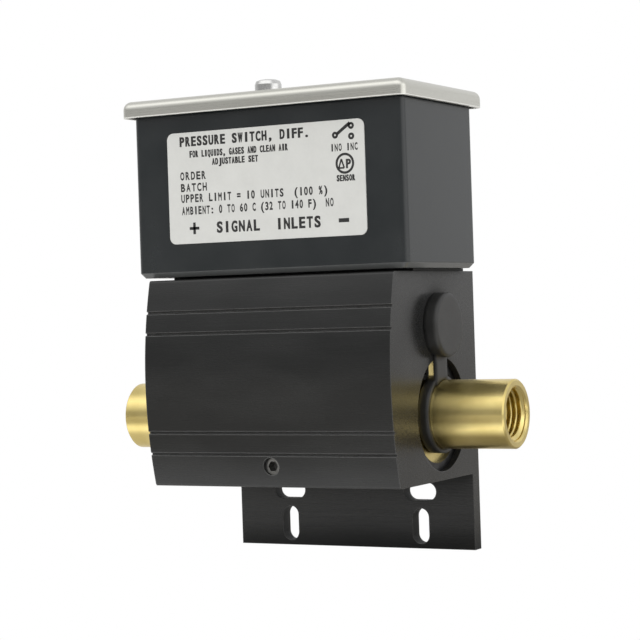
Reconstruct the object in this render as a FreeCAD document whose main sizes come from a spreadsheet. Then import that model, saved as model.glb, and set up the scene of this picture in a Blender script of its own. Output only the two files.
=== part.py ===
"""Differential pressure switch: a parametric FreeCAD document, in millimetres.

The origin lies on the wall face of the mounting flange, midway between the upper pair of slots.
+X runs along the pressure ports to the low port, +Y into the wall and +Z up.
"""
import FreeCAD, Part
import os
from types import SimpleNamespace

import Sketcher

# Driving dimensions
SIZES = {
    # Sensor body extrusion and its flange
    "body_length": 71.0,
    "body_underside": 4.9,
    "body_height": 53.4,
    "body_edge_depth": 47.1,
    "front_bulge": 3.6,
    "body_edge_radius": 0.8,
    "flange_thickness": 3.9,
    "flange_drop": 15.2,
    "groove_width": 0.8,
    "groove_depth": 0.6,
    "inner_groove_offset": 12.75,
    "outer_groove_offset": 18.3,
    "wall_slot_width": 4.8,
    "wall_slot_length": 9.5,
    "wall_slot_spacing": 39.7,
    "wall_slot_row_gap": 9.2,
    # Axes of the ports, the adjuster and the lever
    "port_depth": 21.6,
    "lever_depth": 22.5,
    "adjuster_depth": 23.3,
    "port_height": 21.75,
    "adjuster_height": 44.5,
    "pivot_height": 10.3,
    # Pressure ports and what holds them
    "port_radius": 8.8,
    "port_reach": 20.5,
    "port_edge": 0.4,
    "port_bore_radius": 6.7,
    "port_mouth_chamfer": 0.45,
    "port_thread_depth": 15.0,
    "port_passage_radius": 3.2,
    "port_flange_thickness": 3.0,
    "recess_radius": 14.6,
    "retaining_ring_set": 1.6,
    "retaining_ring_thickness": 1.2,
    "retaining_ring_width": 2.1,
    "retaining_ring_gap": 8.0,
    "retaining_ring_bite": 0.7,
    "retaining_lug_radius": 2.0,
    "retaining_lug_hole": 0.8,
    "seal_thickness": 0.8,
    # Bellows and thrust pins
    "bellows_bore_radius": 12.0,
    "bellows_outer_radius": 10.8,
    "bellows_inner_radius": 8.4,
    "bellows_wall": 0.4,
    "bellows_neck_length": 2.4,
    "bellows_cap_thickness": 1.5,
    "bellows_count": 3,
    "thrust_pin_radius": 2.0,
    "thrust_pin_length": 7.0,
    # Lever and its pivot
    "lever_width": 9.0,
    "lever_thickness": 4.4,
    "lever_eye_radius": 3.4,
    "lever_overrun": 6.0,
    "lever_slot_room": 0.6,
    "pivot_pin_radius": 1.5,
    "pivot_pin_length": 26.0,
    "pivot_thread_radius": 2.2,
    "pivot_thread_length": 10.0,
    "pivot_screw_set": 1.0,
    "pivot_socket_radius": 1.4,
    "pivot_socket_depth": 3.0,
    # Range spring and its adjuster
    "adjuster_bore_radius": 6.6,
    "bushing_set": 3.5,
    "bushing_thickness": 4.0,
    "journal_radius": 2.4,
    "journal_reach": 0.8,
    "driver_slot_width": 0.9,
    "driver_slot_depth": 1.4,
    "collar_radius": 4.4,
    "collar_thickness": 1.5,
    "adjuster_thread_radius": 2.0,
    "spring_length": 16.0,
    "spring_mean_radius": 4.4,
    "spring_wire": 1.2,
    "spring_turns": 4.0,
    "spring_spigot_radius": 2.8,
    "spring_spigot_length": 1.5,
    "nut_thickness": 4.0,
    "nut_travel": 2.5,
    "pointer_width": 2.4,
    "pointer_thickness": 3.0,
    # Tethered rubber plug
    "plug_radius": 8.25,
    "plug_thickness": 3.7,
    "plug_edge": 0.5,
    "plug_stem_length": 2.0,
    "plug_stem_wall": 1.6,
    "strap_width": 6.2,
    "strap_thickness": 1.0,
    "tether_ring_wall": 1.0,
    "tether_ring_length": 2.8,
    # Housing and its gasket
    "gasket_length": 70.4,
    "gasket_depth": 30.2,
    "gasket_thickness": 0.7,
    "housing_length": 78.2,
    "housing_depth": 41.5,
    "housing_back": 5.4,
    "housing_height": 43.3,
    "housing_wall": 2.3,
    "housing_floor": 2.7,
    "housing_corner": 1.9,
    "housing_chamfer": 1.3,
    "conduit_radius": 11.1,
    "conduit_rise": 20.5,
    "housing_screw_inset": 4.6,
    "housing_screw_spacing": 20.0,
    "housing_screw_radius": 1.7,
    "housing_screw_depth": 8.0,
    "housing_screw_head_radius": 3.2,
    "housing_screw_head_height": 2.2,
    # Cover, its gasket and its screws
    "cover_end_overhang": 1.9,
    "cover_front_overhang": 3.2,
    "cover_height": 4.35,
    "cover_sheet": 1.0,
    "cover_corner": 2.4,
    "cover_edge_radius": 2.2,
    "cover_gasket_thickness": 1.85,
    "cover_screw_inset": 3.3,
    "cover_screw_radius": 1.75,
    "cover_screw_length": 12.0,
    "cover_screw_head_radius": 3.4,
    "cover_screw_head_height": 2.9,
    "cover_screw_head_crown": 1.2,
    "boss_radius": 3.2,
    "cross_recess_length": 3.8,
    "cross_recess_width": 1.0,
    "cross_recess_depth": 1.5,
    # Nameplate
    "nameplate_length": 57.3,
    "nameplate_height": 28.65,
    "nameplate_corner": 1.8,
    "nameplate_thickness": 0.25,
    "nameplate_rise": 22.8,
    # Snap switch, its bracket and terminals
    "switch_length": 27.8,
    "switch_depth": 15.8,
    "switch_height": 10.4,
    "switch_rise": 7.8,
    "switch_hole_spacing": 22.2,
    "switch_hole_inset": 5.3,
    "switch_screw_radius": 1.5,
    "switch_screw_head_radius": 2.7,
    "switch_screw_head_height": 1.8,
    "plunger_offset": 4.4,
    "plunger_radius": 1.6,
    "plunger_reach": 2.2,
    "plunger_depth": 4.0,
    "plunger_gap": 0.1,
    "bracket_sheet": 1.5,
    "bracket_screw_spacing": 18.0,
    "terminal_pitch": 9.5,
    "terminal_width": 6.4,
    "terminal_length": 8.0,
    "terminal_sheet": 1.0,
    "terminal_screw_length": 3.5,
    # Scale and ground screw
    "scale_length": 14.4,
    "scale_depth": 4.6,
    "scale_rise": 8.0,
    "scale_sheet": 0.8,
    "scale_screw_radius": 0.9,
    "scale_screw_head_radius": 1.5,
    "scale_screw_spacing": 9.6,
    "ground_boss_radius": 4.2,
    "ground_boss_height": 2.0,
    "ground_screw_radius": 2.0,
    "ground_screw_inset": 14.5,
    "ground_screw_front": 6.5,
    # Fits
    "running_clearance": 0.05,
    "seat_clearance": 0.15,
    "free_clearance": 0.3,
}

# Edges are picked by their place, to this many millimetres, and by the cosine of their slant
PLACE_TOLERANCE = 0.01
PARALLEL_COSINE = 0.999


class Size:
    """A length that carries its number and the sheet expression that gives it."""

    def __init__(self, number, text):
        self.number = number
        self.text = text

    def __add__(self, other):
        other = as_size(other)
        return Size(self.number + other.number, f"({self.text} + {other.text})")

    def __sub__(self, other):
        other = as_size(other)
        return Size(self.number - other.number, f"({self.text} - {other.text})")

    def __mul__(self, other):
        other = as_size(other)
        return Size(self.number * other.number, f"({self.text} * {other.text})")

    def __truediv__(self, other):
        other = as_size(other)
        return Size(self.number / other.number, f"({self.text} / {other.text})")

    def __neg__(self):
        return Size(-self.number, f"(-{self.text})")

    def __radd__(self, other):
        return as_size(other) + self

    def __rsub__(self, other):
        return as_size(other) - self

    def __rmul__(self, other):
        return as_size(other) * self


def as_size(value):
    """Turn a plain number into a Size."""
    if isinstance(value, Size):
        return value
    return Size(float(value), f"({value})")


def root(value):
    """Square root of a Size."""
    return Size(value.number ** 0.5, f"sqrt({value.text})")


doc = FreeCAD.newDocument("PressureSwitch")
sheet = doc.addObject("Spreadsheet::Sheet", "Sizes")
for row, (name, number) in enumerate(SIZES.items(), start=1):
    sheet.set(f"A{row}", name)
    sheet.set(f"B{row}", str(number))
    sheet.setAlias(f"B{row}", name)
doc.recompute()
d = SimpleNamespace(**{name: Size(number, f"Sizes.{name}") for name, number in SIZES.items()})


def front_depth(height):
    """Depth of the body's curved front at a height above its middle."""
    centre = front_radius - d.body_edge_depth - d.front_bulge
    return root(front_radius * front_radius - height * height) - centre


# Places that several pieces share
half_length = d.body_length / 2
body_top = d.body_underside + d.body_height
body_middle = d.body_underside + d.body_height / 2
front_radius = (d.body_height * d.body_height / 4 + d.front_bulge * d.front_bulge) / (2 * d.front_bulge)
pivot_front = d.pivot_screw_set - front_depth(body_middle - d.pivot_height)
lever_face = d.lever_thickness / 2
lever_slot_half = d.lever_eye_radius + d.lever_slot_room
lever_slot_depth = d.lever_width / 2 + d.lever_slot_room
port_flange_face = half_length - d.retaining_ring_set - d.retaining_ring_thickness
port_flange_back = port_flange_face - d.port_flange_thickness
recess_floor = port_flange_back - d.seal_thickness
bellows_neck_radius = d.bellows_inner_radius - d.bellows_wall
bellows_cap_face = lever_face + d.plunger_gap + d.thrust_pin_length
nut_place = lever_face + d.spring_length + d.nut_thickness / 2
pointer_slot_half = d.pointer_width / 2 + d.nut_travel + d.free_clearance
pointer_slot_depth = d.pointer_thickness / 2 + d.free_clearance
housing_bottom = body_top + d.gasket_thickness
housing_top = housing_bottom + d.housing_height
floor_top = housing_bottom + d.housing_floor
housing_front = -(d.housing_back + d.housing_depth)
housing_middle = -(d.housing_back + d.housing_depth / 2)
housing_half = d.housing_length / 2
cover_under = housing_top + d.cover_gasket_thickness
cover_top = cover_under + d.cover_sheet
cover_screw_places = {
    "front": housing_front + d.cover_screw_inset,
    "rear": -(d.housing_back + d.cover_screw_inset),
}
housing_screw_x = half_length - d.housing_screw_inset
housing_screw_places = [
    (along * housing_screw_x, across * d.housing_screw_spacing / 2 - d.port_depth)
    for along in (-1, 1)
    for across in (-1, 1)
]
switch_face = -(lever_face + d.plunger_reach + d.plunger_gap)
switch_back = switch_face - d.switch_depth
switch_bottom = floor_top + d.switch_rise
switch_middle = -(d.lever_depth + d.plunger_offset)
plunger_height = switch_bottom + d.switch_height / 2
lever_top = plunger_height + d.lever_overrun
switch_screw_places = [
    (switch_back + d.switch_hole_inset, switch_middle + end * d.switch_hole_spacing / 2) for end in (-1, 1)
]
bracket_screw_places = [
    ((switch_face + switch_back) / 2, switch_middle + end * d.bracket_screw_spacing / 2) for end in (-1, 1)
]
terminal_top = plunger_height
terminal_places = [
    (switch_back - d.terminal_length / 2, switch_middle + step * d.terminal_pitch) for step in (-1, 0, 1)
]
scale_front = -d.adjuster_depth + pointer_slot_depth + d.free_clearance
ground_place = (housing_half - d.ground_screw_inset, housing_front + d.ground_screw_front)

parts = []

X_AXIS = FreeCAD.Vector(1, 0, 0)
Y_AXIS = FreeCAD.Vector(0, 1, 0)
Z_AXIS = FreeCAD.Vector(0, 0, 1)


# Sketching and feature helpers

def new_body(label, at=(0, 0, 0), along=Z_AXIS):
    """An empty body whose own Z axis points along the given direction from the given place."""
    body = doc.addObject("PartDesign::Body", label)
    body.Label = label
    body.Placement.Rotation = FreeCAD.Rotation(Z_AXIS, along)
    for axis, place in zip("xyz", at):
        body.setExpression(f"Placement.Base.{axis}", as_size(place).text)
    return body


def keep(piece):
    """Put a finished piece on the list of sub-parts."""
    parts.append(piece)
    return piece


def new_sketch(body, plane, offset=(0, 0, 0)):
    """A sketch on one of the body's own origin planes, moved by an offset in that plane's axes."""
    sketch = body.newObject("Sketcher::SketchObject", f"{body.Name}Sketch")
    support = [f for f in body.Origin.OriginFeatures if f.Role == f"{plane}_Plane"][0]
    sketch.AttachmentSupport = [(support, "")]
    sketch.MapMode = "FlatFace"
    for axis, place in zip("xyz", offset):
        sketch.setExpression(f"AttachmentOffset.Base.{axis}", as_size(place).text)
    return sketch


def drive(sketch, constraint, value):
    """Add one dimension to a sketch and bind it to its expression."""
    index = sketch.addConstraint(constraint)
    sketch.setExpression(f"Constraints[{index}]", value.text)


def hold(sketch, curve, end, point):
    """Hold one end or centre of a curve at a point."""
    for kind, place in zip(("DistanceX", "DistanceY"), point):
        place = as_size(place)
        drive(sketch, Sketcher.Constraint(kind, -1, 1, curve, end, place.number), place)


def vector(point):
    """The numbers of a sketch point."""
    return FreeCAD.Vector(as_size(point[0]).number, as_size(point[1]).number, 0)


def add_polygon(sketch, points):
    """A closed outline of straight lines."""
    ends = points[1:] + points[:1]
    lines = [sketch.addGeometry(Part.LineSegment(vector(a), vector(b))) for a, b in zip(points, ends)]
    for line, following in zip(lines, lines[1:] + lines[:1]):
        sketch.addConstraint(Sketcher.Constraint("Coincident", line, 2, following, 1))
    for line, point in zip(lines, points):
        hold(sketch, line, 1, point)
    return lines


def add_rectangle(sketch, low, high):
    """A rectangle between two corners."""
    return add_polygon(sketch, [low, (high[0], low[1]), high, (low[0], high[1])])


def add_circle(sketch, centre, radius):
    """A circle held at its centre."""
    radius = as_size(radius)
    curve = sketch.addGeometry(Part.Circle(vector(centre), Z_AXIS, radius.number))
    hold(sketch, curve, 3, centre)
    drive(sketch, Sketcher.Constraint("Radius", curve, radius.number), radius)


def pad(body, sketch, length, symmetric=False, reverse=False):
    """Add material along the sketch's normal."""
    feature = body.newObject("PartDesign::Pad", f"{body.Name}Pad")
    feature.Profile = sketch
    feature.setExpression("Length", as_size(length).text)
    feature.SideType = "Symmetric" if symmetric else "One side"
    feature.Reversed = reverse
    doc.recompute()
    return feature


def shrinks(body, feature, before):
    """Make sure that a cut has removed material."""
    doc.recompute()
    if feature.Shape.isNull() or feature.Shape.Volume >= before:
        raise RuntimeError(f"{feature.Name} cuts nothing from {body.Label}")
    return feature


def pocket(body, sketch, length, symmetric=False, reverse=False):
    """Remove material against the sketch's normal, or along it when reversed."""
    before = body.Shape.Volume
    feature = body.newObject("PartDesign::Pocket", f"{body.Name}Pocket")
    feature.Profile = sketch
    feature.setExpression("Length", as_size(length).text)
    feature.SideType = "Symmetric" if symmetric else "One side"
    feature.Reversed = reverse
    return shrinks(body, feature, before)


def revolve(body, sketch, axis="V_Axis"):
    """Turn a half section about one of the sketch's axes."""
    feature = body.newObject("PartDesign::Revolution", f"{body.Name}Revolution")
    feature.Profile = sketch
    feature.ReferenceAxis = (sketch, [axis])
    doc.recompute()
    return feature


def groove(body, sketch, axis):
    """Turn a half section about one of the sketch's axes and remove it."""
    before = body.Shape.Volume
    feature = body.newObject("PartDesign::Groove", f"{body.Name}Groove")
    feature.Profile = sketch
    feature.ReferenceAxis = (sketch, [axis])
    return shrinks(body, feature, before)


def edges_where(shape, test):
    """Names of a shape's edges that pass a test."""
    return [f"Edge{i}" for i, edge in enumerate(shape.Edges, start=1) if test(edge)]


def parallel(edge, axis):
    """True for a straight edge along an axis."""
    if not isinstance(edge.Curve, (Part.Line, Part.LineSegment)):
        return False
    return abs(edge.tangentAt(edge.FirstParameter).dot(axis)) > PARALLEL_COSINE


def fillet(body, radius, test):
    """Round the edges that pass a test."""
    base = body.Tip
    feature = body.newObject("PartDesign::Fillet", f"{body.Name}Fillet")
    feature.Base = (base, edges_where(base.Shape, test))
    feature.setExpression("Radius", as_size(radius).text)
    doc.recompute()
    return feature


def chamfer(body, width, test):
    """Bevel the edges that pass a test."""
    base = body.Tip
    feature = body.newObject("PartDesign::Chamfer", f"{body.Name}Chamfer")
    feature.Base = (base, edges_where(base.Shape, test))
    feature.setExpression("Size", as_size(width).text)
    doc.recompute()
    return feature


def turned(label, section, at, along):
    """A turned piece: its half section is radius against distance along its axis."""
    body = new_body(label, at, along)
    sketch = new_sketch(body, "XZ")
    add_polygon(sketch, section)
    revolve(body, sketch)
    return body


def grouped(label, pieces):
    """One sub-part made of separate, alike solids."""
    group = doc.addObject("Part::Compound", label)
    group.Label = label
    group.Links = pieces
    doc.recompute()
    return keep(group)


def screw_section(shank_radius, shank_length, head_radius, head_height):
    """Half section of a screw: the head's underside is at 0 and the shank points down."""
    return [
        (0, -shank_length),
        (shank_radius, -shank_length),
        (shank_radius, 0),
        (head_radius, 0),
        (head_radius, head_height),
        (0, head_height),
    ]


def on_port_axis(side):
    """Place and direction of a piece that sits on the port axis on one side of the middle."""
    return (0, -d.port_depth, d.port_height), X_AXIS * side


# Sub-parts

def make_sensor_body():
    """The extrusion: curved, grooved front, flat back and one flange that runs below it."""
    body = new_body("sensor_body")
    profile = new_sketch(body, "YZ")
    points = [
        (-d.body_edge_depth, body_top),
        (0, body_top),
        (0, -d.flange_drop),
        (-d.flange_thickness, -d.flange_drop),
        (-d.flange_thickness, d.body_underside),
        (-d.body_edge_depth, d.body_underside),
    ]
    lines = [
        profile.addGeometry(Part.LineSegment(vector(a), vector(b)))
        for a, b in zip(points, points[1:])
    ]
    crest = (-(d.body_edge_depth + d.front_bulge), body_middle)
    arc = profile.addGeometry(Part.Arc(vector(points[-1]), vector(crest), vector(points[0])))
    for line, following in zip(lines, lines[1:]):
        profile.addConstraint(Sketcher.Constraint("Coincident", line, 2, following, 1))
    for line, point in zip(lines, points):
        hold(profile, line, 1, point)
    hold(profile, lines[-1], 2, points[-1])
    # The arc runs counter-clockwise, so it starts at the upper edge
    profile.addConstraint(Sketcher.Constraint("Coincident", arc, 1, lines[0], 1))
    profile.addConstraint(Sketcher.Constraint("Coincident", arc, 2, lines[-1], 2))
    drive(profile, Sketcher.Constraint("Radius", arc, front_radius.number), front_radius)
    pad(body, profile, d.body_length, symmetric=True)

    edge_y = -d.body_edge_depth.number
    fillet(
        body,
        d.body_edge_radius,
        lambda edge: parallel(edge, X_AXIS) and abs(edge.CenterOfMass.y - edge_y) < PLACE_TOLERANCE,
    )

    grooves = new_sketch(body, "YZ")
    for offset in (d.inner_groove_offset, d.outer_groove_offset):
        for sign in (-1, 1):
            height = body_middle + sign * offset
            face = -front_depth(offset)
            half = d.groove_width / 2
            add_polygon(grooves, [
                (face - d.front_bulge, height - half),
                (face, height - half),
                (face + d.groove_depth, height - half / 2),
                (face + d.groove_depth, height + half / 2),
                (face, height + half),
                (face - d.front_bulge, height + half),
            ])
    pocket(body, grooves, d.body_length, symmetric=True)

    for side in (-1, 1):
        bore = new_sketch(body, "XY", (0, -d.port_depth, d.port_height))
        ring_outer = half_length - d.retaining_ring_set + d.running_clearance
        ring_inner = port_flange_face - d.running_clearance
        ring_radius = d.recess_radius + d.retaining_ring_bite
        steps = [
            (half_length, 0),
            (half_length, d.recess_radius),
            (ring_outer, d.recess_radius),
            (ring_outer, ring_radius),
            (ring_inner, ring_radius),
            (ring_inner, d.recess_radius),
            (recess_floor, d.recess_radius),
            (recess_floor, d.bellows_bore_radius),
            (0, d.bellows_bore_radius),
            (0, 0),
        ]
        add_polygon(bore, [(side * along, radius) for along, radius in steps])
        groove(body, bore, "H_Axis")

    slot = new_sketch(body, "XY", (0, 0, body_top))
    add_rectangle(
        slot,
        (-lever_slot_half, -d.lever_depth - lever_slot_depth),
        (lever_slot_half, -d.lever_depth + lever_slot_depth),
    )
    pocket(body, slot, body_top - d.pivot_height + d.lever_eye_radius + d.lever_slot_room)

    adjuster = new_sketch(body, "YZ", (0, 0, half_length))
    add_circle(adjuster, (-d.adjuster_depth, d.adjuster_height), d.adjuster_bore_radius)
    pocket(body, adjuster, half_length)

    pointer = new_sketch(body, "XY", (0, 0, body_top))
    add_rectangle(
        pointer,
        (nut_place - pointer_slot_half, -d.adjuster_depth - pointer_slot_depth),
        (nut_place + pointer_slot_half, -d.adjuster_depth + pointer_slot_depth),
    )
    pocket(body, pointer, body_top - d.adjuster_height)

    pivot = new_sketch(body, "XY", (0, 0, d.pivot_height))
    thread_end = pivot_front + d.pivot_thread_length
    pin_end = thread_end + d.pivot_pin_length
    outside = -(d.body_edge_depth + d.front_bulge)
    add_polygon(pivot, [
        (0, outside),
        (d.pivot_thread_radius + d.running_clearance, outside),
        (d.pivot_thread_radius + d.running_clearance, thread_end),
        (d.pivot_pin_radius + d.running_clearance, thread_end),
        (d.pivot_pin_radius + d.running_clearance, pin_end + d.free_clearance),
        (0, pin_end + d.free_clearance),
    ])
    groove(body, pivot, "V_Axis")

    add_wall_slots(body)

    holes = new_sketch(body, "XY", (0, 0, body_top))
    for place in housing_screw_places:
        add_circle(holes, place, d.housing_screw_radius + d.running_clearance)
    pocket(body, holes, d.housing_screw_depth + d.free_clearance)
    keep(body)


def add_wall_slots(body):
    """Two long slots in the upper row and two upright ones below them."""
    reach = (d.wall_slot_length - d.wall_slot_width) / 2
    half = d.wall_slot_width / 2
    for side in (-1, 1):
        middle = side * d.wall_slot_spacing / 2
        for row, along in ((0, (1, 0)), (-d.wall_slot_row_gap, (0, 1))):
            centres = [(middle + end * along[0] * reach, row + end * along[1] * reach) for end in (-1, 1)]
            sketch = new_sketch(body, "XZ")
            across = (along[1] * half, along[0] * half)
            add_rectangle(
                sketch,
                (centres[0][0] - across[0], centres[0][1] - across[1]),
                (centres[1][0] + across[0], centres[1][1] + across[1]),
            )
            pocket(body, sketch, d.flange_thickness, reverse=True)
            for centre in centres:
                end = new_sketch(body, "XZ")
                add_circle(end, centre, half)
                pocket(body, end, d.flange_thickness, reverse=True)


def make_port(side, name):
    """Brass port: flange in the body's recess, plain bore for the pipe thread and a bellows spigot."""
    end = half_length + d.port_reach
    flange_radius = d.recess_radius - d.seat_clearance
    thread_end = end - d.port_thread_depth
    drill_point = thread_end - (d.port_bore_radius - d.port_passage_radius) / 2
    spigot_end = port_flange_back - d.bellows_neck_length
    spigot_radius = bellows_neck_radius - d.running_clearance
    section = [
        (d.port_passage_radius, spigot_end),
        (spigot_radius, spigot_end),
        (spigot_radius, port_flange_back),
        (flange_radius, port_flange_back),
        (flange_radius, port_flange_face),
        (d.port_radius, port_flange_face),
        (d.port_radius, end - d.port_edge),
        (d.port_radius - d.port_edge, end),
        (d.port_bore_radius + d.port_mouth_chamfer, end),
        (d.port_bore_radius, end - d.port_mouth_chamfer),
        (d.port_bore_radius, thread_end),
        (d.port_passage_radius, drill_point),
    ]
    keep(turned(f"{name}_port", section, *on_port_axis(side)))


def make_port_seal(side, name):
    """Flat seal between the port's flange and the floor of the recess."""
    section = [
        (d.bellows_bore_radius + d.free_clearance, recess_floor),
        (d.recess_radius - d.free_clearance, recess_floor),
        (d.recess_radius - d.free_clearance, port_flange_back),
        (d.bellows_bore_radius + d.free_clearance, port_flange_back),
    ]
    keep(turned(f"{name}_port_seal", section, *on_port_axis(side)))


def make_retaining_ring(side, name):
    """Internal retaining ring: an open ring with two lugs, its gap at the top."""
    body = new_body(f"{name}_retaining_ring", (side * port_flange_face, -d.port_depth, d.port_height))
    inner = d.recess_radius - d.retaining_ring_width
    outer = d.recess_radius + d.retaining_ring_bite - d.seat_clearance
    toward = side < 0
    ring = new_sketch(body, "YZ")
    add_circle(ring, (0, 0), outer)
    add_circle(ring, (0, 0), inner)
    pad(body, ring, d.retaining_ring_thickness, reverse=toward)
    gap = new_sketch(body, "YZ")
    add_rectangle(gap, (-d.retaining_ring_gap / 2, 0), (d.retaining_ring_gap / 2, outer + inner))
    pocket(body, gap, d.retaining_ring_thickness, reverse=not toward)
    lug_side = d.retaining_ring_gap / 2 + d.retaining_lug_radius
    lug_height = root(inner * inner - lug_side * lug_side)
    for sign in (-1, 1):
        lug = new_sketch(body, "YZ")
        add_circle(lug, (sign * lug_side, lug_height), d.retaining_lug_radius)
        pad(body, lug, d.retaining_ring_thickness, reverse=toward)
        hole = new_sketch(body, "YZ")
        add_circle(hole, (sign * lug_side, lug_height), d.retaining_lug_hole)
        pocket(body, hole, d.retaining_ring_thickness, reverse=not toward)
    keep(body)


def make_bellows(side, name):
    """Metal bellows on the port's spigot: a neck, a row of folds and a closed cap."""
    body = new_body(f"{name}_bellows", *on_port_axis(side))
    neck_start = port_flange_back - d.bellows_neck_length
    cap_end = bellows_cap_face + d.bellows_cap_thickness
    pitch = (neck_start - cap_end) / d.bellows_count
    inside = bellows_neck_radius
    crown_radius = d.bellows_outer_radius - d.bellows_wall
    fold = new_sketch(body, "XZ")
    add_polygon(fold, [
        (d.bellows_inner_radius, cap_end),
        (d.bellows_outer_radius, cap_end + pitch / 2),
        (d.bellows_inner_radius, cap_end + pitch),
        (inside, cap_end + pitch),
        (crown_radius, cap_end + pitch / 2),
        (inside, cap_end),
    ])
    first = revolve(body, fold)
    pattern = body.newObject("PartDesign::LinearPattern", f"{body.Name}Pattern")
    pattern.Originals = [first]
    pattern.Direction = (fold, ["V_Axis"])
    pattern.setExpression("Occurrences", d.bellows_count.text)
    pattern.setExpression("Length", (pitch * (d.bellows_count - 1)).text)
    body.Tip = pattern
    doc.recompute()
    ends = new_sketch(body, "XZ")
    add_rectangle(ends, (0, bellows_cap_face), (d.bellows_inner_radius, cap_end))
    revolve(body, ends)
    neck = new_sketch(body, "XZ")
    add_rectangle(neck, (inside, neck_start), (d.bellows_inner_radius, port_flange_back))
    revolve(body, neck)
    keep(body)


def make_thrust_pin(side, name):
    """Pin that carries a bellows' push to the lever."""
    tip = lever_face + d.plunger_gap
    section = [
        (0, tip),
        (d.thrust_pin_radius / 2, tip),
        (d.thrust_pin_radius, tip + d.thrust_pin_radius / 2),
        (d.thrust_pin_radius, bellows_cap_face),
        (0, bellows_cap_face),
    ]
    keep(turned(f"{name}_thrust_pin", section, *on_port_axis(side)))


def make_lever():
    """Upright lever with an eye for the pivot and a spigot that centres the range spring."""
    body = new_body("lever", (0, -d.lever_depth, 0))
    bar = new_sketch(body, "XZ")
    add_rectangle(bar, (-lever_face, d.pivot_height), (lever_face, lever_top))
    pad(body, bar, d.lever_width, symmetric=True)
    eye = new_sketch(body, "XZ")
    add_circle(eye, (0, d.pivot_height), d.lever_eye_radius)
    pad(body, eye, d.lever_width, symmetric=True)
    spigot = new_sketch(body, "YZ", (0, 0, lever_face))
    add_circle(spigot, (d.lever_depth - d.adjuster_depth, d.adjuster_height), d.spring_spigot_radius)
    pad(body, spigot, d.spring_spigot_length)
    hole = new_sketch(body, "XZ")
    add_circle(hole, (0, d.pivot_height), d.pivot_pin_radius + d.running_clearance)
    pocket(body, hole, d.lever_width, symmetric=True)
    keep(body)


def make_pivot_screw():
    """Socket set screw with a long plain pin, which the lever turns on."""
    thread_end = d.pivot_thread_length
    pin_end = thread_end + d.pivot_pin_length
    section = [
        (0, 0),
        (d.pivot_thread_radius, 0),
        (d.pivot_thread_radius, thread_end),
        (d.pivot_pin_radius, thread_end),
        (d.pivot_pin_radius, pin_end),
        (0, pin_end),
    ]
    body = turned("pivot_screw", section, (0, pivot_front, d.pivot_height), Y_AXIS)
    socket = new_sketch(body, "XY")
    side = d.pivot_socket_radius
    upright = root(as_size(3)) / 2
    add_polygon(socket, [
        (side, 0),
        (side / 2, side * upright),
        (-side / 2, side * upright),
        (-side, 0),
        (-side / 2, -side * upright),
        (side / 2, -side * upright),
    ])
    pocket(body, socket, d.pivot_socket_depth, reverse=True)
    keep(body)


def on_adjuster_axis():
    """Place and direction of a piece on the adjuster's axis."""
    return (0, -d.adjuster_depth, d.adjuster_height), X_AXIS


def make_adjuster_bushing():
    """Bushing that the adjusting screw turns in and thrusts against."""
    outer_face = half_length - d.bushing_set
    section = [
        (d.journal_radius + d.running_clearance, outer_face - d.bushing_thickness),
        (d.adjuster_bore_radius - d.running_clearance, outer_face - d.bushing_thickness),
        (d.adjuster_bore_radius - d.running_clearance, outer_face),
        (d.journal_radius + d.running_clearance, outer_face),
    ]
    keep(turned("adjuster_bushing", section, *on_adjuster_axis()))


def make_adjusting_screw():
    """Slotted screw that turns in place and draws the spring nut along."""
    journal_end = half_length - d.bushing_set + d.journal_reach
    collar_face = half_length - d.bushing_set - d.bushing_thickness - d.running_clearance
    collar_back = collar_face - d.collar_thickness
    thread_end = nut_place - d.nut_thickness / 2 - d.nut_travel - d.adjuster_thread_radius
    section = [
        (0, thread_end),
        (d.adjuster_thread_radius, thread_end),
        (d.adjuster_thread_radius, collar_back),
        (d.collar_radius, collar_back),
        (d.collar_radius, collar_face),
        (d.journal_radius, collar_face),
        (d.journal_radius, journal_end),
        (0, journal_end),
    ]
    body = turned("adjusting_screw", section, *on_adjuster_axis())
    slot = new_sketch(body, "XY", (0, 0, journal_end))
    add_rectangle(
        slot,
        (-d.journal_radius, -d.driver_slot_width / 2),
        (d.journal_radius, d.driver_slot_width / 2),
    )
    pocket(body, slot, d.driver_slot_depth)
    keep(body)


def make_spring_nut():
    """Nut that the spring bears on, kept from turning by its upright pointer."""
    body = new_body("spring_nut", (nut_place, -d.adjuster_depth, d.adjuster_height))
    disc = new_sketch(body, "YZ")
    add_circle(disc, (0, 0), d.adjuster_bore_radius - d.seat_clearance)
    pad(body, disc, d.nut_thickness, symmetric=True)
    pointer = new_sketch(body, "YZ")
    half = d.pointer_thickness / 2
    rise = floor_top + d.scale_rise + d.scale_sheet - d.adjuster_height
    add_polygon(pointer, [
        (-half, 0),
        (half, 0),
        (half, rise),
        (0, rise + half),
        (-half, rise),
    ])
    pad(body, pointer, d.pointer_width, symmetric=True)
    hole = new_sketch(body, "YZ")
    add_circle(hole, (0, 0), d.adjuster_thread_radius + d.running_clearance)
    pocket(body, hole, d.nut_thickness, symmetric=True)
    keep(body)


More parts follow.
